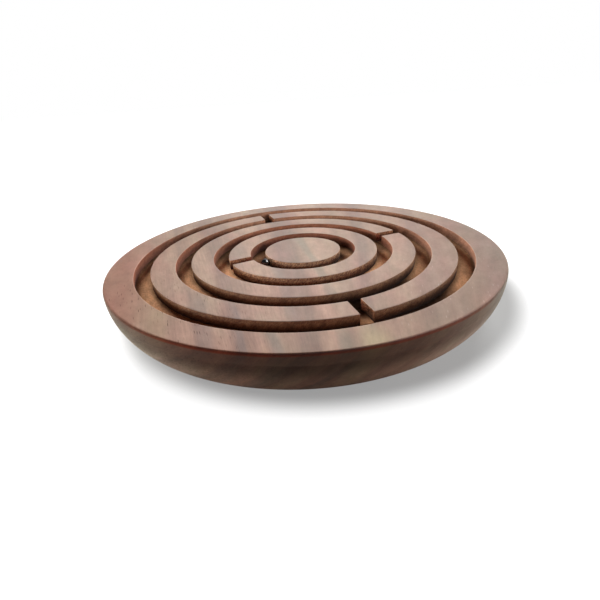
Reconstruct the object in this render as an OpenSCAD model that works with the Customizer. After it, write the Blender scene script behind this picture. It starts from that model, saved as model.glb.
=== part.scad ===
// Round wooden ball maze, held in the hands and tilted to steer a steel ball.
// The frame's origin is the middle of the underside, with +Z up and the player at -Y.

/* [Board] */
// Diameter of the board at its widest line
board_d = 130; // [116:1:200]
// Thickness of the whole board
thickness = 15; // [10:0.5:30]
// Radius of the top outer edge
top_edge_r = 1.2; // [0.6:0.1:5]
// Radius of the rounded side, from its widest line down to the underside
side_r = 16.8; // [6:0.1:30]

/* [Ball] */
// Diameter of the steel ball
ball_d = 3; // [2:0.1:5]
// Direction of the ball from the centre, in degrees from +X
ball_angle = 210; // [0:1:359]
// Gap between the ball and the wood below and beside it
ball_gap = 0.1; // [0.05:0.05:0.5]

/* [Channels] */
// How much wider each channel is than the ball
channel_play = 2; // [0.5:0.1:4]
// Depth of the channels below the top face
channel_depth = 3.2; // [2:0.1:8]

/* [Gates] */
// How much wider each gate is than the ball
gate_play = 0.7; // [0.3:0.1:2]
// Direction of the front gate in the outer wall
front_gate_angle = 287; // [240:0.5:320]
// Direction of the back gate in the outer wall
back_gate_angle = 108.5; // [60:0.5:160]
// Direction of the gate in the middle wall
middle_gate_angle = 21; // [0:0.5:359]
// Direction of the gate in the inner wall
inner_gate_angle = 200.5; // [0:0.5:359]
// How far the inner gate is turned away from straight through its wall
inner_gate_skew = 4; // [-15:1:15]

/* [Rings] */
// Width of the inner wall
inner_wall_w = 7.5; // [4:0.5:14]
// Width of the middle wall
middle_wall_w = 7.5; // [4:0.5:14]
// Width of the outer wall
outer_wall_w = 8; // [4:0.5:14]
// Width of the rim, from the last channel to the widest part of the side
rim_w = 9; // [7:0.5:16]
// Radius of the eased edges along the channels
ease_r = 0.4; // [0.2:0.1:0.8]

/* [Hidden] */
$fn = 180;

// Extra reach of a cutting block past what it cuts
cut_over = 1;

channel_w = ball_d + channel_play;
gate_w = ball_d + gate_play;
floor_z = thickness - channel_depth;

// Radii of the rings, from the side inwards. The disc at the centre takes what is left.
board_r = board_d / 2;
rim_ri = board_r - rim_w;
outer_wall_ro = rim_ri - channel_w;
outer_wall_ri = outer_wall_ro - outer_wall_w;
middle_wall_ro = outer_wall_ri - channel_w;
middle_wall_ri = middle_wall_ro - middle_wall_w;
inner_wall_ro = middle_wall_ri - channel_w;
inner_wall_ri = inner_wall_ro - inner_wall_w;
centre_r = inner_wall_ri - channel_w;

// The side is two arcs that meet at its widest line. The lower one reaches down to the underside.
widest_z = thickness - top_edge_r;
side_arc_r = max(side_r, widest_z);

wood_red = "#8a5a44";
wood_pale = "#b9978a";
wood_gold = "#a8714a";
steel = "#c9ccd0";

// Half of the turned board's cross-section, below and above its widest line
module board_section() {
    square([board_r - side_arc_r, widest_z]);
    intersection() {
        translate([board_r - side_arc_r, widest_z]) circle(side_arc_r);
        square([board_r, widest_z]);
    }
    translate([0, widest_z]) square([board_r - top_edge_r, top_edge_r]);
    intersection() {
        translate([board_r - top_edge_r, widest_z]) circle(top_edge_r);
        translate([0, widest_z]) square([board_r, top_edge_r]);
    }
}

// Half cross-section of a ring that stands on the channel floor, with eased top edges
module ring_section(ri, ro) {
    inner_ease = ri > 0 ? ease_r : 0;
    translate([ri, floor_z]) square([ro - ri, channel_depth - ease_r]);
    translate([ri + inner_ease, floor_z]) square([ro - ri - inner_ease - ease_r, channel_depth]);
    translate([ro - ease_r, thickness - ease_r]) circle(ease_r);
    if (ri > 0) translate([ri + ease_r, thickness - ease_r]) circle(ease_r);
}

// Straight cut with parallel sides through the wall between two radii
module gate_cut(ri, ro, angle, skew = 0) {
    reach = ro - ri + 2 * channel_w;
    rotate(angle) translate([(ri + ro) / 2, 0, thickness - channel_depth / 2]) rotate(skew)
        cube([reach, gate_w, channel_depth + 2 * cut_over], center = true);
}

// Arc of the outer wall from one gate to the next, each end cut back by half a gate
module outer_wall_arc(from_angle, to_angle) {
    difference() {
        rotate(from_angle) rotate_extrude(angle = to_angle - from_angle)
            ring_section(outer_wall_ri, outer_wall_ro);
        gate_cut(outer_wall_ri, outer_wall_ro, from_angle);
        gate_cut(outer_wall_ri, outer_wall_ro, to_angle);
    }
}

module base_disc() {
    color(wood_gold) rotate_extrude() intersection() {
        board_section();
        square([board_r + cut_over, floor_z]);
    }
}

module rim_ring() {
    color(wood_red) rotate_extrude() intersection() {
        board_section();
        ring_section(rim_ri, board_r + ease_r);
    }
}

module outer_wall_left() {
    color(wood_pale) outer_wall_arc(back_gate_angle, front_gate_angle);
}

module outer_wall_right() {
    color(wood_pale) outer_wall_arc(front_gate_angle, back_gate_angle + 360);
}

module middle_wall() {
    color(wood_pale) difference() {
        rotate_extrude() ring_section(middle_wall_ri, middle_wall_ro);
        gate_cut(middle_wall_ri, middle_wall_ro, middle_gate_angle);
    }
}

module inner_wall() {
    color(wood_pale) difference() {
        rotate_extrude() ring_section(inner_wall_ri, inner_wall_ro);
        gate_cut(inner_wall_ri, inner_wall_ro, inner_gate_angle, inner_gate_skew);
    }
}

module centre_disc() {
    color(wood_pale) rotate_extrude() ring_section(0, centre_r);
}

// The ball lies in the innermost channel, close to the centre disc
module steel_ball() {
    color(steel) rotate(ball_angle)
        translate([centre_r + ball_gap + ball_d / 2, 0, floor_z + ball_gap + ball_d / 2]) sphere(d = ball_d);
}

base_disc();
rim_ring();
outer_wall_left();
outer_wall_right();
middle_wall();
inner_wall();
centre_disc();
steel_ball();
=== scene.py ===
import math

import bpy
from mathutils import Matrix, Vector


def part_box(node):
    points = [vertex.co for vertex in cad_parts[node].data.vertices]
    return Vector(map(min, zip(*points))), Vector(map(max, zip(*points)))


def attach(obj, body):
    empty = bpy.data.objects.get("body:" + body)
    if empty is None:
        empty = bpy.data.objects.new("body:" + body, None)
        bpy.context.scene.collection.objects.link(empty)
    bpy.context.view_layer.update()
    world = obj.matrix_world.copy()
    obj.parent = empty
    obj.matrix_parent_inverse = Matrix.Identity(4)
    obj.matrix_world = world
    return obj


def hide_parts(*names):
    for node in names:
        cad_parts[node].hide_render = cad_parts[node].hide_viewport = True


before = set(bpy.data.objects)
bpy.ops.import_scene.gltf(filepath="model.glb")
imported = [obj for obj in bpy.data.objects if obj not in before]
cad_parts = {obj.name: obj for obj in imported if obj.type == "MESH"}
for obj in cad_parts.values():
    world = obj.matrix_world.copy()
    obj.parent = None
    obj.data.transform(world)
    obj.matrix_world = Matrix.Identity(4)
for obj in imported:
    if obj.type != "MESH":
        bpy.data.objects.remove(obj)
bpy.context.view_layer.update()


# Base disc: the lower part of the board, turned on a lathe from oiled rosewood-like hardwood.
# Its top face is the floor that the channels were routed down to. The side rolls in to a flat underside.
# All the wood is one board, so the turning rule and the grain made here serve every wooden piece.
mm = 0.001
board_radius = 65.0 * mm
board_top = 15.0 * mm
channel_floor = 11.8 * mm
channel_middles = (15.5 * mm, 28.0 * mm, 40.5 * mm, 53.5 * mm)
widest_height = 13.8 * mm
side_radius = 16.8 * mm
gate_width = 3.7 * mm
full_turn = 2 * math.pi


def put(tree, kind, inputs=None, **options):
    """Adds a node, sets its options, and links or sets its inputs."""
    made = tree.nodes.new(kind)
    for option, value in options.items():
        setattr(made, option, value)
    for where, value in (inputs or {}).items():
        if isinstance(value, bpy.types.NodeSocket):
            tree.links.new(value, made.inputs[where])
        else:
            made.inputs[where].default_value = value
    return made


def tree_of(*values):
    """Finds the node tree that a sum belongs to, by the sockets among its values."""
    return next(value.id_data for value in values if isinstance(value, bpy.types.NodeSocket))


def reckon(operation, *values):
    """Adds a sum of numbers."""
    return put(tree_of(*values), "ShaderNodeMath", dict(enumerate(values)), operation=operation).outputs[0]


def squared(value):
    """Multiplies a number by itself."""
    return reckon("MULTIPLY", value, value)


def ranged(value, low, high, first=0.0, last=1.0, smooth=False):
    """Carries a number over from one range to another, and holds it at both ends."""
    return put(tree_of(value), "ShaderNodeMapRange", {0: value, 1: low, 2: high, 3: first, 4: last},
               interpolation_type="SMOOTHSTEP" if smooth else "LINEAR").outputs[0]


def blended(share, one, other):
    """Goes by a share from one number to another."""
    return put(tree_of(share, one, other), "ShaderNodeMix", {0: share, 2: one, 3: other}).outputs[0]


def vector(operation, one, other=(0, 0, 0)):
    """Adds a sum of places or colours."""
    second = "Scale" if operation == "SCALE" else 1
    made = put(tree_of(one), "ShaderNodeVectorMath", {0: one, second: other}, operation=operation)
    return made.outputs["Value" if operation in ("LENGTH", "DISTANCE") else "Vector"]


def parted(place):
    """Parts a place into its three numbers."""
    return put(tree_of(place), "ShaderNodeSeparateXYZ", {0: place}).outputs


def joined(x, y, z=0.0):
    """Joins three numbers into a place."""
    return put(tree_of(x, y, z), "ShaderNodeCombineXYZ", {0: x, 1: y, 2: z}).outputs[0]


def lathe_tree():
    """Turns a section about the upright axis, as a whole ring or between straight-sided gates."""
    tree = bpy.data.node_groups.new("turned_piece", "GeometryNodeTree")
    for size in ("Inner radius", "Outer radius", "Foot height", "Top height", "Inner ease", "Outer ease",
                 "Row length", "Hidden row length", "First gate", "Last gate", "Gate width", "Gate skew",
                 "End ease", "Board radius", "Widest height", "Side radius", "Routed inside",
                 "Routed outside", "Routed top", "Tear depth", "Tear grain"):
        tree.interface.new_socket(name=size, in_out="INPUT", socket_type="NodeSocketFloat")
    for count in ("Columns", "End columns", "Seed"):
        tree.interface.new_socket(name=count, in_out="INPUT", socket_type="NodeSocketInt")
    tree.interface.new_socket(name="Whole ring", in_out="INPUT", socket_type="NodeSocketBool")
    tree.interface.new_socket(name="Wood", in_out="INPUT", socket_type="NodeSocketMaterial")
    tree.interface.new_socket(name="Piece", in_out="OUTPUT", socket_type="NodeSocketGeometry")
    given = tree.nodes.new("NodeGroupInput").outputs
    mid_radius = reckon("MULTIPLY", reckon("ADD", given["Inner radius"], given["Outer radius"]), 0.5)
    mid_height = reckon("MULTIPLY", reckon("ADD", given["Foot height"], given["Top height"]), 0.5)

    # Section: four corners in order, the top ones eased, with the side held inside the board's rounded side.
    # Heights closer than a hair count as one.
    hair = 1e-6
    ease_points = 9
    index = tree.nodes.new("GeometryNodeInputIndex").outputs[0]
    corners = put(tree, "GeometryNodeIndexSwitch", data_type="VECTOR")
    eases = put(tree, "GeometryNodeIndexSwitch", data_type="FLOAT")
    for switch in (corners, eases):
        switch.index_switch_items.new()
        switch.index_switch_items.new()
        tree.links.new(index, switch.inputs[0])
    for number, (radius, height) in enumerate((("Inner radius", "Top height"), ("Outer radius", "Top height"),
                                               ("Outer radius", "Foot height"),
                                               ("Inner radius", "Foot height")), start=1):
        tree.links.new(joined(given[radius], given[height]), corners.inputs[number])
    tree.links.new(given["Inner ease"], eases.inputs[1])
    tree.links.new(given["Outer ease"], eases.inputs[2])
    points = put(tree, "GeometryNodePoints", {"Count": 4, "Position": corners.outputs[0]})
    outline = put(tree, "GeometryNodePointsToCurves", {0: points.outputs[0]})
    has_bore = reckon("GREATER_THAN", given["Inner radius"], hair)
    looped = put(tree, "GeometryNodeSetSplineCyclic", {0: outline.outputs[0], "Cyclic": has_bore})
    eased = put(tree, "GeometryNodeFilletCurve", {"Curve": looped.outputs[0], "Count": ease_points,
                                                  "Radius": eases.outputs[0]}, mode="POLY")
    here = tree.nodes.new("GeometryNodeInputPosition").outputs[0]
    after = put(tree, "GeometryNodeOffsetPointInCurve", {"Point Index": index, "Offset": 1})
    there = put(tree, "GeometryNodeFieldAtIndex", {"Index": after.outputs["Point Index"], "Value": here},
                data_type="FLOAT_VECTOR", domain="POINT").outputs[0]
    upper = reckon("MAXIMUM", parted(here)[1], parted(there)[1])
    underneath = reckon("LESS_THAN", upper, reckon("ADD", given["Foot height"], hair))
    row = blended(underneath, given["Row length"], given["Hidden row length"])
    cuts = reckon("FLOOR", reckon("DIVIDE", vector("DISTANCE", here, there), row))
    rows = put(tree, "GeometryNodeSubdivideCurve", {"Curve": eased.outputs[0], "Cuts": cuts})
    at = parted(here)
    drop = reckon("MAXIMUM", reckon("SUBTRACT", given["Widest height"], at[1]), 0.0)
    roll = reckon("SUBTRACT", squared(given["Side radius"]), squared(drop))
    roll = reckon("SQRT", reckon("MAXIMUM", roll, 0.0))
    side = reckon("ADD", reckon("SUBTRACT", given["Board radius"], given["Side radius"]), roll)
    held = joined(reckon("MINIMUM", at[0], side), at[1])
    section = put(tree, "GeometryNodeSetPosition", {"Geometry": rows.outputs[0], "Position": held})
    tangent = parted(tree.nodes.new("GeometryNodeInputTangent").outputs[0])
    outward = joined(reckon("MULTIPLY", tangent[1], -1.0), tangent[0])
    section_kept = tree.nodes.new("GeometryNodeCaptureAttribute")
    section_kept.capture_items.new("VECTOR", "Place")
    section_kept.capture_items.new("VECTOR", "Outward")
    tree.links.new(section.outputs[0], section_kept.inputs[0])
    tree.links.new(here, section_kept.inputs["Place"])
    tree.links.new(outward, section_kept.inputs["Outward"])

    # Round: one column after another about the axis, the end columns closing the faces at the gates.
    # The columns crowd together towards the gates, where the ends of a wall are eased.
    crowd = 0.9
    ring = put(tree, "GeometryNodeCurvePrimitiveCircle", {"Resolution": given["Columns"], "Radius": 1.0},
               mode="RADIUS")
    opened = put(tree, "GeometryNodeSetSplineCyclic", {0: ring.outputs[0], "Cyclic": given["Whole ring"]})
    ring_kept = tree.nodes.new("GeometryNodeCaptureAttribute")
    ring_kept.capture_items.new("FLOAT", "Column")
    tree.links.new(opened.outputs[0], ring_kept.inputs[0])
    tree.links.new(tree.nodes.new("GeometryNodeSplineParameter").outputs["Index"], ring_kept.inputs["Column"])
    swept = put(tree, "GeometryNodeCurveToMesh", {"Curve": ring_kept.outputs[0],
                                                  "Profile Curve": section_kept.outputs[0]})

    def held_share(value):
        return put(tree, "ShaderNodeClamp", {0: value}).outputs[0]

    column = ring_kept.outputs["Column"]
    place = parted(section_kept.outputs["Place"])
    normal = parted(section_kept.outputs["Outward"])
    upward = reckon("MAXIMUM", normal[1], 0.0)
    whole = given["Whole ring"]
    part = reckon("SUBTRACT", 1.0, whole)
    last_column = reckon("SUBTRACT", given["Columns"], 1.0)
    end_columns = given["End columns"]
    past_first = reckon("SUBTRACT", column, end_columns)
    between = reckon("SUBTRACT", last_column, reckon("MULTIPLY", end_columns, 2.0))
    along = held_share(reckon("DIVIDE", past_first, between))
    inside = reckon("MINIMUM", past_first, reckon("SUBTRACT", between, past_first))
    closing = held_share(reckon("DIVIDE", reckon("MULTIPLY", inside, -1.0), end_columns))
    closing = reckon("MULTIPLY", closing, part)
    crowding = reckon("MULTIPLY", reckon("SINE", reckon("MULTIPLY", along, full_turn)), crowd / full_turn)
    along = reckon("SUBTRACT", along, crowding)
    gate_to_gate = reckon("SUBTRACT", given["Last gate"], given["First gate"])
    nearer = reckon("MINIMUM", along, reckon("SUBTRACT", 1.0, along))
    from_gate = reckon("MULTIPLY", reckon("MULTIPLY", nearer, gate_to_gate), mid_radius)
    end_ease = given["End ease"]
    facing = held_share(reckon("DIVIDE", reckon("SUBTRACT", end_ease, from_gate), end_ease))
    facing = reckon("MULTIPLY", facing, part)
    sideways = reckon("SQRT", reckon("SUBTRACT", 1.0, squared(facing)))
    inset = reckon("MULTIPLY", end_ease, reckon("SUBTRACT", 1.0, sideways))
    radius = reckon("SUBTRACT", place[0], reckon("MULTIPLY", inset, normal[0]))
    height = reckon("SUBTRACT", place[1], reckon("MULTIPLY", inset, upward))
    radius = blended(closing, radius, mid_radius)
    height = blended(closing, height, mid_height)
    skewed = reckon("MULTIPLY", mid_radius, reckon("SINE", given["Gate skew"]))
    half_gate = reckon("MULTIPLY", given["Gate width"], 0.5)
    safe_radius = reckon("MAXIMUM", radius, given["Gate width"])

    def gate_side(gate, half):
        offset = reckon("DIVIDE", reckon("SUBTRACT", half, skewed), safe_radius)
        return reckon("ADD", reckon("ADD", given[gate], given["Gate skew"]), reckon("ARCSINE", offset))

    start = gate_side("First gate", half_gate)
    end = gate_side("Last gate", reckon("MULTIPLY", half_gate, -1.0))
    ring_angle = reckon("MULTIPLY", reckon("DIVIDE", column, given["Columns"]), full_turn)
    angle = blended(whole, blended(along, start, end), ring_angle)

    # Torn grain: the router leaves its faces rough, so they are picked back a little, by a fixed seed.
    # The sawn ends at the gates get rougher still, over the first third of the way in from their edge.
    face_from, face_full = 0.6, 0.88
    least_lean = 1e-3
    sawn_full, sawn_rougher = 0.35, 1.6

    def towards(slope):
        return ranged(slope, face_from, face_full, smooth=True)

    def spot(spot_radius, spot_angle, spot_height):
        x = reckon("MULTIPLY", spot_radius, reckon("COSINE", spot_angle))
        y = reckon("MULTIPLY", spot_radius, reckon("SINE", spot_angle))
        return joined(x, y, spot_height)

    lean = reckon("SQRT", reckon("ADD", squared(normal[0]), squared(upward)))
    sideward = reckon("DIVIDE", normal[0], reckon("MAXIMUM", lean, least_lean))
    inner = reckon("MULTIPLY", given["Routed inside"], towards(reckon("MULTIPLY", sideward, -1.0)))
    outer = reckon("MULTIPLY", given["Routed outside"], towards(sideward))
    level = reckon("MULTIPLY", given["Routed top"], towards(normal[1]))
    sawn = towards(facing)
    routed = reckon("MAXIMUM", reckon("MAXIMUM", inner, outer), reckon("MAXIMUM", level, sawn))
    grain_spot = vector("SCALE", spot(radius, angle, height), given["Tear grain"])
    grain_spot = vector("ADD", grain_spot, joined(given["Seed"], given["Seed"]))
    torn = put(tree, "ShaderNodeTexNoise", {"Vector": grain_spot, "Scale": 1.0, "Detail": 3.0,
                                            "Roughness": 0.6}).outputs[0]
    torn = reckon("MULTIPLY", ranged(torn, 0.3, 0.75), routed)
    rougher = reckon("MULTIPLY_ADD", ranged(closing, 0.0, sawn_full), sawn_rougher, 1.0)
    depth = reckon("MULTIPLY", torn, reckon("MULTIPLY", given["Tear depth"], rougher))
    aside = reckon("MULTIPLY", depth, sideways)
    radius = reckon("SUBTRACT", radius, reckon("MULTIPLY", aside, normal[0]))
    height = reckon("SUBTRACT", height, reckon("MULTIPLY", aside, upward))
    inward = reckon("SUBTRACT", 1.0, reckon("MULTIPLY", reckon("GREATER_THAN", along, 0.5), 2.0))
    back = reckon("MULTIPLY", reckon("DIVIDE", reckon("MULTIPLY", depth, facing), safe_radius), inward)
    angle = reckon("ADD", angle, back)
    shaped = put(tree, "GeometryNodeSetPosition", {"Geometry": swept.outputs[0],
                                                   "Position": spot(radius, angle, height)})

    # Finish: welded seams and poles, crisp feet, and the five marks that the wood's finish reads.
    # The edge mark, for wear and a painted highlight, is weaker where an edge looks inwards, and fades into
    # the flank, the board's own side.
    weld_gap = 1e-7
    crisp_bend = math.radians(50)
    edge_from, edge_full = 0.1, 0.45
    inner_edge_share = 0.3
    flank_from, flank_full = 0.35, 0.72
    welded = put(tree, "GeometryNodeMergeByDistance", {"Geometry": shaped.outputs[0], "Distance": weld_gap})
    smooth = put(tree, "GeometryNodeSetShadeSmooth", {"Geometry": welded.outputs[0], "Shade Smooth": True},
                 domain="FACE")
    bend = tree.nodes.new("GeometryNodeInputMeshEdgeAngle").outputs["Unsigned Angle"]
    sharp = reckon("GREATER_THAN", bend, crisp_bend)
    crisp = put(tree, "GeometryNodeSetShadeSmooth", {"Geometry": smooth.outputs[0], "Shade Smooth": False,
                                                     "Selection": sharp}, domain="EDGE")
    # Pale edge mark: partly wear, partly a painted highlight on edges that face outward.
    edge = ranged(reckon("ABSOLUTE", sideward), edge_from, edge_full, smooth=True)
    edge = reckon("MULTIPLY", edge, reckon("SUBTRACT", 1.0, routed))
    outside = reckon("MULTIPLY", reckon("GREATER_THAN", sideward, 0.0), given["Routed outside"])
    edge = reckon("MULTIPLY", edge, reckon("MULTIPLY_ADD", outside, 1.0 - inner_edge_share, inner_edge_share))
    end_edge = reckon("MULTIPLY", squared(reckon("MULTIPLY", facing, sideways)), 4.0)
    edge = reckon("MAXIMUM", edge, end_edge)
    flank = reckon("MULTIPLY", reckon("SUBTRACT", 1.0, given["Routed outside"]),
                   ranged(sideward, flank_from, flank_full, smooth=True))
    edge = reckon("MULTIPLY", edge, reckon("SUBTRACT", 1.0, flank))
    marked = crisp.outputs[0]
    for mark, value in {"routed": routed, "edge": edge, "flank": flank, "inner": inner, "sawn": sawn}.items():
        marked = put(tree, "GeometryNodeStoreNamedAttribute",
                     {"Geometry": marked, "Name": mark, "Value": value},
                     data_type="FLOAT", domain="POINT").outputs[0]
    real = put(tree, "GeometryNodeRealizeInstances", {0: marked})
    wooden = put(tree, "GeometryNodeSetMaterial", {"Geometry": real.outputs[0], "Material": given["Wood"]})
    put(tree, "NodeGroupOutput", {0: wooden.outputs[0]})
    return tree


turning = lathe_tree()


def bring_in(name, data):
    """Adds an object to the scene."""
    thing = bpy.data.objects.new(name, data)
    bpy.context.scene.collection.objects.link(thing)
    return thing


def turn(name, wood, **sizes):
    """Turns one wooden piece by the rule, as a plain mesh with its place in it."""
    piece = bring_in(name, bpy.data.meshes.new(name))
    modifier = piece.modifiers.new("turning", "NODES")
    modifier.node_group = turning
    settings = {"Board radius": board_radius, "Widest height": widest_height, "Side radius": side_radius,
                "Gate width": gate_width, "End ease": 0.15 * mm, "Foot height": channel_floor,
                "Top height": board_top, "Hidden row length": 2.0 * mm, "Row length": 0.4 * mm,
                "Tear grain": 1100.0, "End columns": 10, "Last gate": full_turn, "Wood": wood}
    settings.update({key.replace("_", " ").capitalize(): value for key, value in sizes.items()})
    for socket in turning.interface.items_tree:
        if socket.in_out == "INPUT" and socket.name in settings:
            modifier[socket.identifier] = settings[socket.name]
    shaped = piece.evaluated_get(bpy.context.evaluated_depsgraph_get())
    mesh = bpy.data.meshes.new_from_object(shaped)
    piece.modifiers.clear()
    piece.data = mesh
    mesh.name = name
    return piece


def mixed(share, one, other):
    """Goes by a share from one colour to another."""
    return put(tree_of(share, one, other), "ShaderNodeMix", {0: share, 6: one, 7: other},
               data_type="RGBA").outputs[2]


def times(colour, level):
    """Makes a colour lighter or darker."""
    return vector("SCALE", colour, level)


def dyed(colour, dye):
    """Stains one colour with another."""
    return vector("MULTIPLY", colour, dye)


def grain_group():
    """The board's grain as it lies in the solid wood: stripes, fibres and pores along Y, in millimetres."""
    tree = bpy.data.node_groups.new("rosewood_grain", "ShaderNodeTree")
    tree.interface.new_socket(name="Colour", in_out="OUTPUT", socket_type="NodeSocketColor")
    for name in ("Pores", "Fibre", "Speckle", "Patches"):
        tree.interface.new_socket(name=name, in_out="OUTPUT", socket_type="NodeSocketFloat")

    # Run of the grain: it leans, tilts with the depth and fans out to the front. At the far left it slants.
    lean, tilt, fan = 0.07, 0.6, 0.0062
    slant, slants_from = 0.23, -37.0
    board = tree.nodes.new("ShaderNodeTexCoord").outputs["Object"]
    rightward, along, up = parted(vector("SCALE", board, 1 / mm))
    straight = reckon("MULTIPLY_ADD", along, lean, rightward)
    straight = reckon("MULTIPLY_ADD", reckon("SUBTRACT", board_top / mm, up), tilt, straight)
    fanned = reckon("DIVIDE", straight, reckon("MULTIPLY_ADD", along, fan, 1.0))
    slanted = reckon("MULTIPLY_ADD", along, slant, straight)
    across = blended(reckon("LESS_THAN", slanted, slants_from), fanned, slanted)
    laid = joined(across, along, up)

    def noise(scale, detail, drawn_out, roughness=0.5):
        stretched = vector("MULTIPLY", laid, (1, drawn_out, 1))
        return put(tree, "ShaderNodeTexNoise", {"Vector": stretched, "Scale": scale, "Detail": detail,
                                                "Roughness": roughness}).outputs

    # Growth rings about a pith line that lies along Y, low and to the right of the board
    pith = (95.0, 0.0, -70.0)
    sway = 16.0
    wander = vector("SUBTRACT", noise(0.02, 2.0, 0.25)["Color"], (0.5, 0.5, 0.5))
    bent = vector("ADD", laid, vector("SCALE", wander, sway))
    ring = vector("LENGTH", vector("MULTIPLY", vector("SUBTRACT", bent, pith), (1, 0, 1)))

    def ring_noise(scale, detail, roughness):
        return put(tree, "ShaderNodeTexNoise", {"W": ring, "Scale": scale, "Detail": detail,
                                                "Roughness": roughness}, noise_dimensions="1D").outputs[0]

    stripes = reckon("ADD", reckon("MULTIPLY", ring_noise(0.11, 1.5, 0.55), 0.8),
                     reckon("MULTIPLY", ring_noise(0.75, 2.0, 0.6), 0.2))
    tones = put(tree, "ShaderNodeValToRGB", {0: stripes})
    ramp = tones.color_ramp.elements
    ramp[0].position = 0.3
    ramp[0].color = (0.29, 0.197, 0.163, 1)
    ramp[1].position = 0.72
    ramp[1].color = (0.435, 0.292, 0.224, 1)
    for position, colour in ((0.42, (0.34, 0.223, 0.178, 1)), (0.5, (0.38, 0.249, 0.196, 1)),
                             (0.6, (0.41, 0.272, 0.21, 1))):
        ramp.new(position).color = colour

    # Fibres, drawn out along the grain and coarser at the left
    fibre = noise(1.6, 3.0, 0.05, 0.65)[0]
    coarseness = ranged(across, -25.0, 5.0, 0.7, 0.26)
    tint = reckon("MULTIPLY_ADD", reckon("SUBTRACT", fibre, 0.5), coarseness, 0.99)
    coloured = times(tones.outputs[0], tint)

    # Figure: the streaks that can be told apart on the top, each by its place at the middle of the board, its
    # lean, half width and strength, where it starts and ends along the grain, and its tone
    fading = 8
    wobble = reckon("MULTIPLY", reckon("SUBTRACT", noise(0.09, 2.0, 0.4)[0], 0.5), 5.0)
    wavering = reckon("ADD", across, wobble)
    near_top = ranged(up, 12.0, 14.3, 0.3, 1.0)
    mauve = (0.255, 0.205, 0.185, 1)
    tan = (0.49, 0.36, 0.24, 1)
    red = (0.335, 0.175, 0.13, 1)
    moss = (0.285, 0.235, 0.19, 1)
    for middle, streak_lean, half, strength, start, end, tone in (
            (0.5, -0.15, 2.4, 0.66, -46, 24, moss),
            (-12.0, -0.05, 2.6, 0.4, -54, -8, mauve),
            (-29.5, 0.0, 2.4, 0.6, -72, -36, mauve),
            (-17.6, 0.0, 3.6, 0.65, -72, -48, mauve),
            (6.4, 0.0, 3.6, 0.75, -72, -52, moss),
            (17.0, 0.0, 8.0, 0.8, -72, -52, tan),
            (-22.0, 0.0, 1.8, 0.6, -72, -59, tan),
            (-51.4, 0.0, 4.0, 0.4, -64, -34, tan),
            (-40.5, 0.0, 3.0, 0.4, -70, -30, mauve),
            (-66.0, 0.0, 20.0, 0.8, -54, 30, red),
            (45.0, 0.0, 12.0, 0.28, -60, 30, mauve),
            (68.0, 0.0, 18.0, 0.5, -50, 40, mauve),
            (-23.0, 0.0, 5.0, 0.3, -14, 14, mauve)):
        streak = reckon("MULTIPLY_ADD", along, streak_lean, middle)
        off = reckon("ABSOLUTE", reckon("SUBTRACT", wavering, streak))
        band = ranged(off, 0.2 * half, half, strength, 0.0, smooth=True)
        begun = ranged(along, start, start + fading)
        ended = ranged(along, end - fading, end, 1.0, 0.0)
        band = reckon("MULTIPLY", reckon("MULTIPLY", band, near_top), reckon("MULTIPLY", begun, ended))
        coloured = mixed(band, coloured, tone)

    # Clouds of lighter and darker wood, and a blush that turns from green to red
    cloudy = ranged(noise(0.22, 5.0, 0.55, 0.76)[0], 0.3, 0.7, 0.82, 1.15)
    coloured = times(coloured, cloudy)
    blush = ranged(noise(0.1, 2.0, 0.5)[0], 0.35, 0.65)
    coloured = dyed(coloured, mixed(blush, (0.97, 1.03, 1.0, 1), (1.03, 0.97, 0.98, 1)))

    # Open pores, drawn out along the grain, and most of them at the front left
    pore_corner = (-52.5, -48.0, 15.0)
    pore_dark = (0.05, 0.022, 0.014, 1)
    pore_room = vector("MULTIPLY", bent, (1.8, 0.25, 1.8))
    cells = put(tree, "ShaderNodeTexVoronoi", {"Vector": pore_room, "Scale": 1.0}).outputs
    near = ranged(cells["Distance"], 0.1, 0.28, 1.0, 0.0)
    some = put(tree, "ShaderNodeSeparateColor", {0: cells["Color"]}).outputs[0]
    pores = reckon("MULTIPLY", near, ranged(some, 0.35, 0.7))
    pores = reckon("MULTIPLY", pores, ranged(vector("DISTANCE", laid, pore_corner), 10.0, 40.0, 1.3, 0.16))
    coloured = mixed(reckon("MULTIPLY", pores, 0.52), coloured, pore_dark)

    # Pale flecks: tiny chips and scratches in the oil at the front right, across the grain
    fleck_corner = (54.0, -46.0, 15.0)
    fleck_pale = (0.66, 0.55, 0.48, 1)
    fleck_room = put(tree, "ShaderNodeMapping", {"Vector": laid, "Rotation": (0.0, 0.0, math.radians(38.0)),
                                                 "Scale": (0.9, 0.22, 0.9)}).outputs[0]
    chips = put(tree, "ShaderNodeTexVoronoi", {"Vector": fleck_room, "Scale": 1.0}).outputs
    which = put(tree, "ShaderNodeSeparateColor", {0: chips["Color"]}).outputs[1]
    flecks = reckon("MULTIPLY", ranged(chips["Distance"], 0.06, 0.2, 1.0, 0.0), ranged(which, 0.3, 0.7))
    flecks = reckon("MULTIPLY", flecks, ranged(vector("DISTANCE", laid, fleck_corner), 12.0, 55.0, 0.36, 0.0))
    coloured = mixed(flecks, coloured, fleck_pale)
    put(tree, "NodeGroupOutput", {"Colour": coloured, "Pores": pores, "Fibre": fibre,
                                  "Speckle": noise(1.9, 2.0, 0.7, 0.7)[0],
                                  "Patches": noise(0.4, 2.0, 0.4, 0.6)[0]})
    return tree


grain = grain_group()


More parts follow.
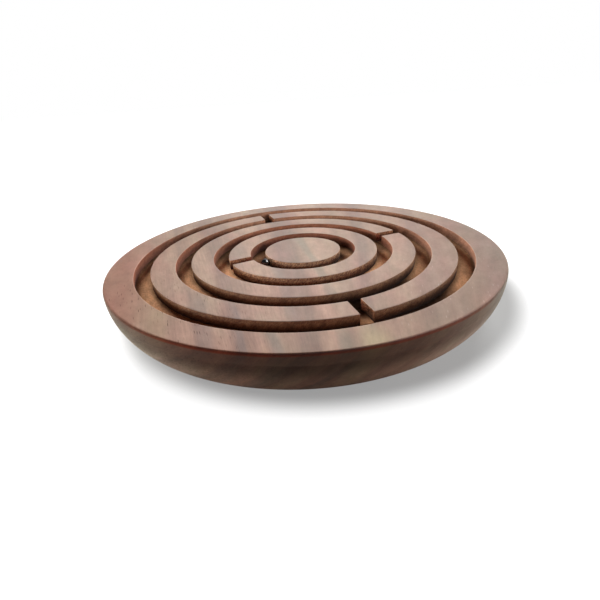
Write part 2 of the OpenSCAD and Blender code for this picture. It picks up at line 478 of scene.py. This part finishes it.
def oiled_wood(name, torn_dark, torn_gold, front_painted_tint=(1, 1, 1), back_painted_tint=(1, 1, 1), is_floor=False,
               gloss=0.25, side_painted_light=(1, 1, 1)):
    """Oiled wood: a satin top, rough routed faces, and a side that is red at its edge, with a painted sheen
    and painted light below.
    """
    material = bpy.data.materials.new(name)
    material.use_nodes = True
    tree = material.node_tree
    shader = tree.nodes["Principled BSDF"].inputs
    board = put(tree, "ShaderNodeGroup", node_tree=grain).outputs
    spot = tree.nodes.new("ShaderNodeTexCoord").outputs["Object"]
    across, rearward, height = parted(spot)
    out = vector("LENGTH", vector("MULTIPLY", spot, (1, 1, 0)))

    def mark(attribute):
        return put(tree, "ShaderNodeAttribute", attribute_name=attribute).outputs["Fac"]

    # Routed wood: torn fibres in a dark and a golden tone, with the specks plainest on the gate ends
    grain_shows = 0.12
    routed = mark("routed")
    specks = reckon("ADD", reckon("MULTIPLY", board["Speckle"], 0.7), reckon("MULTIPLY", board["Fibre"], 0.3))
    specks = ranged(specks, 0.43, 0.6)
    if is_floor:
        specks = blended(0.45, 0.5, specks)
    else:
        inner = mark("inner")
        sawn = mark("sawn")
        specked = ranged(inner, 0.0, 1.0, ranged(out, 26.0 * mm, 36.0 * mm, 0.8, 0.4), 0.22)
        specked = reckon("MAXIMUM", specked, reckon("MULTIPLY", sawn, 0.9))
        specks = blended(specked, 0.4, specks)
    torn = mixed(specks, (*torn_dark, 1), (*torn_gold, 1))
    torn = times(torn, ranged(board["Patches"], 0.3, 0.65, 0.72, 1.18))
    torn = mixed(grain_shows, torn, board["Colour"])

    # Wall faces: those that look inwards are redder, most of all in the small rings and at the left.
    # They are lighter at the back as painted light, and darker at the far left as painted shade.
    # All darken towards the foot as painted shade, the outward ones most, and these get painted light on the
    # small rings.
    # The gate ends are red as well.
    if not is_floor:
        outer_dye = (0.98, 1.13, 1.10, 1)
        sawn_dye = (0.86, 0.66, 0.58)
        wide_dye_and_back_light = mixed(ranged(across, -40.0 * mm, 20.0 * mm), (0.94, 0.69, 0.68, 1), (0.98, 0.92, 0.92, 1))
        # Painted light: inward faces towards the back are made lighter.
        wide_dye_and_back_light = mixed(ranged(rearward, 15.0 * mm, 38.0 * mm), wide_dye_and_back_light, (1.1, 1.08, 1.08, 1))
        small_dye = mixed(ranged(out, 20.0 * mm, 29.0 * mm), (0.9, 0.66, 0.65, 1), (0.91, 0.71, 0.68, 1))
        inner_dye_and_back_light = mixed(ranged(out, 33.0 * mm, 42.0 * mm), small_dye, wide_dye_and_back_light)
        torn = dyed(torn, mixed(inner, outer_dye, inner_dye_and_back_light))
        # Painted shade: inward faces at the far left are darker.
        painted_left_shade = ranged(across, -55.0 * mm, -20.0 * mm, 0.72, 1.0)
        torn = times(torn, blended(inner, 1.0, painted_left_shade))
        torn = mixed(sawn, torn, dyed(torn, sawn_dye))
        up_wall = ranged(height, channel_floor, board_top)
        # Painted shade: faces darken towards their foot, the outward ones nearly to black.
        painted_foot_shade = ranged(inner, 0.0, 1.0, 0.05, 0.55)
        torn = times(torn, ranged(up_wall, 0.0, 0.85, painted_foot_shade, 1.0, smooth=True))
        # Painted light: outward faces on the small rings are lighter, most of all at the left.
        painted_small_ring_light = ranged(out, 20.0 * mm, 32.0 * mm, ranged(across, -8.0 * mm, 6.0 * mm, 1.42, 1.05), 1.0)
        torn = times(torn, blended(reckon("MAXIMUM", inner, sawn), painted_small_ring_light, 1.0))
        deep_in = reckon("MULTIPLY", inner, reckon("SUBTRACT", 30.0 * mm, out))
        torn = times(torn, ranged(deep_in, 0.0, 14.0 * mm, 1.0, 0.78))
    # Painted light and shade: the wood gets one tint at the front and another at the back.
    tint = mixed(ranged(rearward, -32.0 * mm, 32.0 * mm, smooth=True), (*front_painted_tint, 1), (*back_painted_tint, 1))
    plain = dyed(board["Colour"], tint)
    body = mixed(reckon("MULTIPLY", routed, 0.95), plain, torn)

    # Channel floor: painted shade along the feet of the walls, towards the back, at the front right and
    # inside the front gate, and painted light on the second channel at the front, with painted shade on it at
    # the back
    if is_floor:
        right_painted_shade = (26.0 * mm, -36.0 * mm, channel_floor)
        gate_painted_shade = (12.0 * mm, -38.5 * mm, channel_floor)
        aside = board_radius
        for middle in channel_middles:
            aside = reckon("MINIMUM", aside, reckon("ABSOLUTE", reckon("SUBTRACT", out, middle)))
        # Painted shade: the floor darkens close to each wall's foot.
        painted_channel_foot_shade = reckon("MULTIPLY", ranged(aside, 0.7 * mm, 2.5 * mm, smooth=True),
                      reckon("LESS_THAN", aside, 2.7 * mm))
        body = times(body, ranged(painted_channel_foot_shade, 0.0, 1.0, 1.0, 0.5))
        # Painted shade: the floor darkens towards the back, more at the left.
        painted_back_shade = ranged(across, -10.0 * mm, 10.0 * mm, 0.27, 0.46)
        painted_back_shade = ranged(rearward, -8.0 * mm, 7.0 * mm, 1.0, painted_back_shade, smooth=True)
        # Painted shade: a dark patch on the floor at the front right.
        from_right = vector("DISTANCE", spot, right_painted_shade)
        painted_light_and_shade = ranged(from_right, 10.0 * mm, 19.0 * mm, 0.15, 1.0, smooth=True)
        off_second = reckon("ABSOLUTE", reckon("SUBTRACT", out, channel_middles[1]))
        # Painted light on the second channel at the front, and painted shade on it at the back.
        painted_second_channel_light = ranged(rearward, -5.0 * mm, 6.0 * mm, 1.55, 0.65)
        painted_light_and_shade = reckon("MULTIPLY", painted_light_and_shade, ranged(off_second, 2.6 * mm, 3.4 * mm, painted_second_channel_light, 1.0))
        # Painted shade: a dark patch on the floor inside the front gate.
        from_gate = vector("DISTANCE", spot, gate_painted_shade)
        painted_light_and_shade = reckon("MULTIPLY", painted_light_and_shade, ranged(from_gate, 4.5 * mm, 9.5 * mm, 0.25, 1.0, smooth=True))
        below_floor = reckon("LESS_THAN", height, channel_floor - 0.1 * mm)
        body = times(body, reckon("MAXIMUM", reckon("MULTIPLY", painted_back_shade, painted_light_and_shade), below_floor))

    # Side: red where the top rolls over into it, most of all in end grain, then dark, with a painted sheen on
    # the long grain and painted light that makes it lighter further down
    # Painted sheen: the long-grain side is made paler and greyer; end grain stays darker.
    long_grain_painted_sheen = (1.32, 1.74, 1.66, 1)
    end_dull = (0.88, 0.76, 0.645, 1)
    edge_dye = (0.68, 0.205, 0.12)
    rolled_dye = (0.98, 0.6, 0.48)
    flank = mark("flank")
    end_grain = ranged(reckon("DIVIDE", reckon("ABSOLUTE", rearward), out), 0.58, 0.93)
    reddened = ranged(end_grain, 0.2, 1.0, 0.2, 1.0)
    edge_red = reckon("MAXIMUM", ranged(height, 13.95 * mm, 14.6 * mm, smooth=True),
                      ranged(height, 9.5 * mm, 13.5 * mm, 0.0, 0.14, smooth=True))
    edge_red = reckon("MULTIPLY", edge_red, reddened)
    side_sheen_and_grain = dyed(mixed(end_grain, long_grain_painted_sheen, end_dull), side_painted_light)
    # Painted light: the side is lighter further down, as from the floor below, and darker near the top.
    painted_floor_bounce = ranged(height, 5.0 * mm, 11.0 * mm, ranged(end_grain, 0.5, 1.0, 1.05, 1.42), 0.52, smooth=True)
    side = mixed(edge_red, times(dyed(plain, side_sheen_and_grain), painted_floor_bounce), dyed(plain, edge_dye))
    rolled = reckon("MULTIPLY", ranged(out, 64.2 * mm, 64.6 * mm, 0.0, 0.85, smooth=True), reddened)
    body = mixed(rolled, body, dyed(plain, rolled_dye))
    body = mixed(flank, body, side)

    # Finish: pale along the eased edges, as wear and a painted highlight, satin on the top, and coarse where
    # it was routed and on the side
    body = times(body, ranged(mark("edge"), 0.0, 1.0, 1.0, 1.32))
    tree.links.new(body, shader["Base Color"])
    satin = ranged(board["Fibre"], 0.3, 0.7, 0.43, 0.54)
    satin = reckon("ADD", satin, reckon("MULTIPLY", board["Pores"], 0.2))
    coarse = reckon("MAXIMUM", routed, reckon("MULTIPLY", flank, 0.6))
    tree.links.new(blended(coarse, satin, 0.85), shader["Roughness"])
    shader["Specular IOR Level"].default_value = gloss
    relief = reckon("SUBTRACT", reckon("MULTIPLY", board["Fibre"], 0.35), board["Pores"])
    relief = reckon("ADD", relief, reckon("MULTIPLY", reckon("MULTIPLY", board["Speckle"], routed), 3.0))
    bump = put(tree, "ShaderNodeBump", {"Height": relief, "Strength": 0.5, "Distance": 0.04 * mm})
    tree.links.new(bump.outputs[0], shader["Normal"])
    return material


# Painted light: the base's side is dyed paler to make up for the weak light on it.
base_wood = oiled_wood("base_rosewood", (0.48, 0.23, 0.108), (0.86, 0.47, 0.25), is_floor=True, gloss=0.03,
                       side_painted_light=(1.27, 1.31, 1.4))
base = turn("base_turned", base_wood, inner_radius=0.0, outer_radius=board_radius, foot_height=0.0,
            top_height=channel_floor, columns=660, whole_ring=True, row_length=0.7 * mm,
            hidden_row_length=3.0 * mm, routed_top=1.0, tear_depth=-0.04 * mm, seed=3)
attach(base, "board")
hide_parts("base_disc")


# Rim ring: the border of the board, left standing round the outermost channel.
# Its top is sanded and oiled to a satin, and its outer edge is rolled over by hand into the side.
channel_ease = 0.25 * mm
tear = 0.14 * mm
face_dark = (0.11, 0.048, 0.031)
face_gold = (0.58, 0.29, 0.165)
rim_wood = oiled_wood("rim_rosewood", face_dark, face_gold, (0.945, 0.94, 0.93), (0.92, 0.96, 0.965))
rim = turn("rim_turned", rim_wood, inner_radius=56.0 * mm, outer_radius=board_radius, inner_ease=channel_ease,
           outer_ease=0.65 * mm, columns=1000, whole_ring=True, routed_inside=1.0, tear_depth=tear, seed=7)
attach(rim, "board")
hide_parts("rim_ring")


# Outer wall: two arcs of the same board, parted by a straight gate at the front and another at the back.
# Their faces on the channels are as the router left them, and their tops are satin like the rim.
wall_wood = oiled_wood("wall_rosewood", face_dark, face_gold, (1.04, 1.05, 1.05), (0.875, 0.865, 0.84))
front_gate = math.radians(287.0)
back_gate = math.radians(108.5)


def turn_wall(name, inner_radius, outer_radius, first_gate, last_gate, columns, seed, gate_skew=0.0):
    """Turns a wall that was routed on both sides, from one gate to the next."""
    return turn(name, wall_wood, inner_radius=inner_radius, outer_radius=outer_radius,
                inner_ease=channel_ease, outer_ease=channel_ease, first_gate=first_gate, last_gate=last_gate,
                gate_skew=gate_skew, columns=columns, routed_inside=1.0, routed_outside=1.0, tear_depth=tear,
                seed=seed)


for side, first, last, seed in (("left", back_gate, front_gate, 11),
                                ("right", front_gate, back_gate + full_turn, 12)):
    wall = turn_wall("outer_wall_" + side + "_turned", 43.0 * mm, 51.0 * mm, first, last,
                     columns=440, seed=seed)
    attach(wall, "board")
    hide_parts("outer_wall_" + side)


# Middle wall: a ring of the board with one straight gate at the right.
# It is cut and finished as the outer wall is.
middle_gate = math.radians(21.0)
middle = turn_wall("middle_wall_turned", 30.5 * mm, 38.0 * mm, middle_gate, middle_gate + full_turn,
                   columns=640, seed=13)
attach(middle, "board")
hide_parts("middle_wall")


# Inner wall: the smallest ring of the board, with one gate at the left that is cut a little aslant.
# It is cut and finished as the outer wall is.
inner_gate = math.radians(200.5)
inner = turn_wall("inner_wall_turned", 18.0 * mm, 25.5 * mm, inner_gate, inner_gate + full_turn,
                  columns=420, seed=14, gate_skew=math.radians(4.0))
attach(inner, "board")
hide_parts("inner_wall")


# Centre disc: the round block that the ball has to reach, left standing at the middle of the board.
# Its top is satin, and only its round side was routed.
centre = turn("centre_turned", wall_wood, inner_radius=0.0, outer_radius=13.0 * mm, outer_ease=channel_ease,
              columns=260, whole_ring=True, routed_outside=1.0, tear_depth=tear, seed=15)
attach(centre, "board")
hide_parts("centre_disc")


# Steel ball: a loose 3 mm bearing ball of hardened steel, lapped to a mirror and a little scuffed by use.
# It lies in the innermost channel against the centre disc, and is made as an even ball of square faces.
ball_low, ball_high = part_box("steel_ball")
ball_centre = (ball_low + ball_high) / 2
ball_radius = (ball_high.z - ball_low.z) / 2
facets = 28


def lapped_ball():
    """Six square grids bulged out to the ball's radius."""
    places, faces = [], []
    known = {}
    for axis in range(3):
        for way in (-1, 1):
            grid = []
            for row in range(facets + 1):
                for column in range(facets + 1):
                    u = math.tan((row / facets - 0.5) * math.pi / 2)
                    v = math.tan((column / facets - 0.5) * math.pi / 2)
                    spot = [0.0, 0.0, 0.0]
                    spot[axis], spot[(axis + 1) % 3], spot[(axis + 2) % 3] = way, u * way, v
                    spot = Vector(spot).normalized()
                    key = tuple(round(x, 6) for x in spot)
                    if key not in known:
                        known[key] = len(places)
                        places.append(ball_centre + spot * ball_radius)
                    grid.append(known[key])
            for row in range(facets):
                for column in range(facets):
                    first = row * (facets + 1) + column
                    below = first + facets + 1
                    faces.append((grid[first], grid[below], grid[below + 1], grid[first + 1]))
    mesh = bpy.data.meshes.new("ball_lapped")
    mesh.from_pydata(places, [], faces)
    mesh.shade_smooth()
    return mesh


steel = bpy.data.materials.new("lapped_steel")
steel.use_nodes = True
steel_tree = steel.node_tree
steel_shader = steel_tree.nodes["Principled BSDF"].inputs
steel_shader["Metallic"].default_value = 1.0
steel_spot = vector("SCALE", steel_tree.nodes.new("ShaderNodeTexCoord").outputs["Object"], 1 / mm)
smudge = put(steel_tree, "ShaderNodeTexNoise", {"Vector": steel_spot, "Scale": 1.4, "Detail": 4.0}).outputs[0]
steel_tone = put(steel_tree, "ShaderNodeValToRGB", {0: smudge})
steel_tone.color_ramp.elements[0].color = (0.10, 0.10, 0.102, 1)
steel_tone.color_ramp.elements[1].color = (0.16, 0.16, 0.163, 1)
steel_tree.links.new(steel_tone.outputs[0], steel_shader["Base Color"])
steel_tree.links.new(ranged(smudge, 0.3, 0.75, 0.05, 0.16), steel_shader["Roughness"])
ball = bring_in("ball_lapped", lapped_ball())
ball.data.materials.append(steel)
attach(ball, "ball")
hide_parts("steel_ball")


# Floor: a wide sheet of white paper that the board stands on, which isn't part of the object.
# It shows as white and keeps the board's shadow; a painted shadow, where its white glow fades out, makes it
# deepest close under the rounded side.
floor_half = 3.0
painted_shadow_middle = (4.7 * mm, 3.5 * mm, 0.0)
floor_mesh = bpy.data.meshes.new("floor")
floor_mesh.from_pydata([(-floor_half, -floor_half, 0), (floor_half, -floor_half, 0),
                        (floor_half, floor_half, 0), (-floor_half, floor_half, 0)], [], [(0, 1, 2, 3)])
floor = bring_in("floor", floor_mesh)


def seen(tree):
    """Tells rays that show a backdrop, also in gloss and glass, from rays that only carry light."""
    rays = tree.nodes.new("ShaderNodeLightPath").outputs
    mirrored = reckon("MAXIMUM", rays["Is Glossy Ray"], rays["Is Transmission Ray"])
    return reckon("MAXIMUM", rays["Is Camera Ray"], mirrored)


paper = bpy.data.materials.new("white_paper")
paper.use_nodes = True
paper_tree = paper.node_tree
paper_tree.nodes.remove(paper_tree.nodes["Principled BSDF"])
paper_seen = seen(paper_tree)
sheet = put(paper_tree, "ShaderNodeBsdfDiffuse", {"Color": ranged(paper_seen, 0.0, 1.0, 0.3, 0.25)})
paper_spot = paper_tree.nodes.new("ShaderNodeTexCoord").outputs["Object"]
away = vector("LENGTH", vector("SUBTRACT", paper_spot, painted_shadow_middle))
# Painted shadow: the floor's white glow fades out close around the board.
painted_shadow_glow = ranged(away, 63.5 * mm, 73.0 * mm, 0.31, 1.0, smooth=True)
glow = put(paper_tree, "ShaderNodeEmission", {"Color": (1, 1, 1, 1),
                                              "Strength": reckon("MULTIPLY", paper_seen, painted_shadow_glow)})
together = put(paper_tree, "ShaderNodeAddShader", {0: sheet.outputs[0], 1: glow.outputs[0]})
paper_tree.links.new(together.outputs[0], paper_tree.nodes["Material Output"].inputs["Surface"])
floor_mesh.materials.append(paper)


# Room: plain white to the camera, and almost dark as a light, so that the lamps shape the shadows.
# Gloss sees it dim, and brighter towards the back.
world = bpy.data.worlds.new("white_room")
bpy.context.scene.world = world
world.use_nodes = True
world_tree = world.node_tree
outlook = parted(world_tree.nodes.new("ShaderNodeTexCoord").outputs["Generated"])[1]
straight_on = world_tree.nodes.new("ShaderNodeLightPath").outputs["Is Camera Ray"]
backdrop = reckon("MAXIMUM", ranged(outlook, 0.75, 1.0, 0.06, 0.5), straight_on)
world_shader = world_tree.nodes["Background"].inputs
world_tree.links.new(blended(seen(world_tree), 0.02, backdrop), world_shader["Strength"])
world_shader["Color"].default_value = (1, 1, 1, 1)


# Lamps: two soft boxes far back and low, a panel behind for the satin haze on the top, a low box at each
# side, and a lamp that only gives gloss, for the glint on the ball. Two small keys in front light the faces
# at the back that look to the player, over a grey card that keeps them off the front of the board.
board_middle = (0.0, 0.0, 0.01)
top_middle = (0.0, 0.0, 0.015)
by_ball = (-0.013, -0.007, 0.013)


def soft_box(name, place, target, width, depth, watts, mirrored=False, lights_matt=True):
    """A plain rectangular studio light that isn't itself seen by the camera."""
    lamp = bpy.data.lights.new(name, "AREA")
    lamp.shape = "RECTANGLE"
    lamp.size = width
    lamp.size_y = depth
    lamp.energy = watts
    light = bring_in(name, lamp)
    light.location = place
    light.rotation_euler = (Vector(target) - Vector(place)).to_track_quat("-Z", "Y").to_euler()
    light.visible_camera = False
    light.visible_glossy = mirrored
    light.visible_diffuse = lights_matt


soft_box("back_left_box", (-1.075, 2.021, 0.732), board_middle, 0.80, 0.32, 110.0)
soft_box("back_right_box", (1.179, 1.962, 0.732), board_middle, 0.80, 0.32, 87.0)
soft_box("back_panel", (0.02, 0.544, 0.24), board_middle, 0.36, 0.16, 0.5, mirrored=True, lights_matt=False)
soft_box("left_box", (-0.58, 0.08, 0.05), board_middle, 0.4, 0.08, 3.1)
soft_box("right_box", (0.58, 0.08, 0.05), board_middle, 0.4, 0.08, 3.0)
soft_box("left_key", (-0.29, -0.42, 0.1253), top_middle, 0.06, 0.012, 0.9)
soft_box("right_key", (0.20, -0.47, 0.136), top_middle, 0.10, 0.016, 1.3)
soft_box("glint_lamp", (0.31, 0.01, 0.40), by_ball, 0.3, 0.3, 2.3, mirrored=True, lights_matt=False)

card_half = 0.4
card_front = -0.27
card_top = 0.0834
card_mesh = bpy.data.meshes.new("shade_card")
card_mesh.from_pydata([(-card_half, card_front, 0.0), (card_half, card_front, 0.0),
                       (card_half, card_front, card_top), (-card_half, card_front, card_top)], [],
                      [(0, 1, 2, 3)])
card = bring_in("shade_card", card_mesh)
card.visible_camera = False
card.visible_glossy = False
card_grey = bpy.data.materials.new("grey_card")
card_grey.use_nodes = True
card_grey.node_tree.nodes["Principled BSDF"].inputs["Base Color"].default_value = (0.05, 0.05, 0.05, 1)
card_mesh.materials.append(card_grey)


# Camera: at the photograph's place and angle, found from the edges of the rings.
# It looks down at the board from the player's side, and its small shift centres the photograph's frame.
frame_pixels = 600
camera = bring_in("camera", bpy.data.cameras.new("camera"))
camera.data.sensor_width = 36.0
camera.data.lens = 25.213
camera.data.clip_start = 0.01
camera.data.shift_x = -0.35 / frame_pixels
camera.data.shift_y = 0.2 / frame_pixels
right = Vector((0.998233, -0.014867, -0.057523))
up = Vector((0.058114, 0.445698, 0.893295))
back = right.cross(up)
stand = Vector((0.0, -138.684, 64.287)) * mm
camera.matrix_world = Matrix((
    (right.x, up.x, back.x, stand.x),
    (right.y, up.y, back.y, stand.y),
    (right.z, up.z, back.z, stand.z),
    (0.0, 0.0, 0.0, 1.0)))
bpy.context.scene.camera = camera
bpy.context.scene.view_settings.view_transform = "Standard"
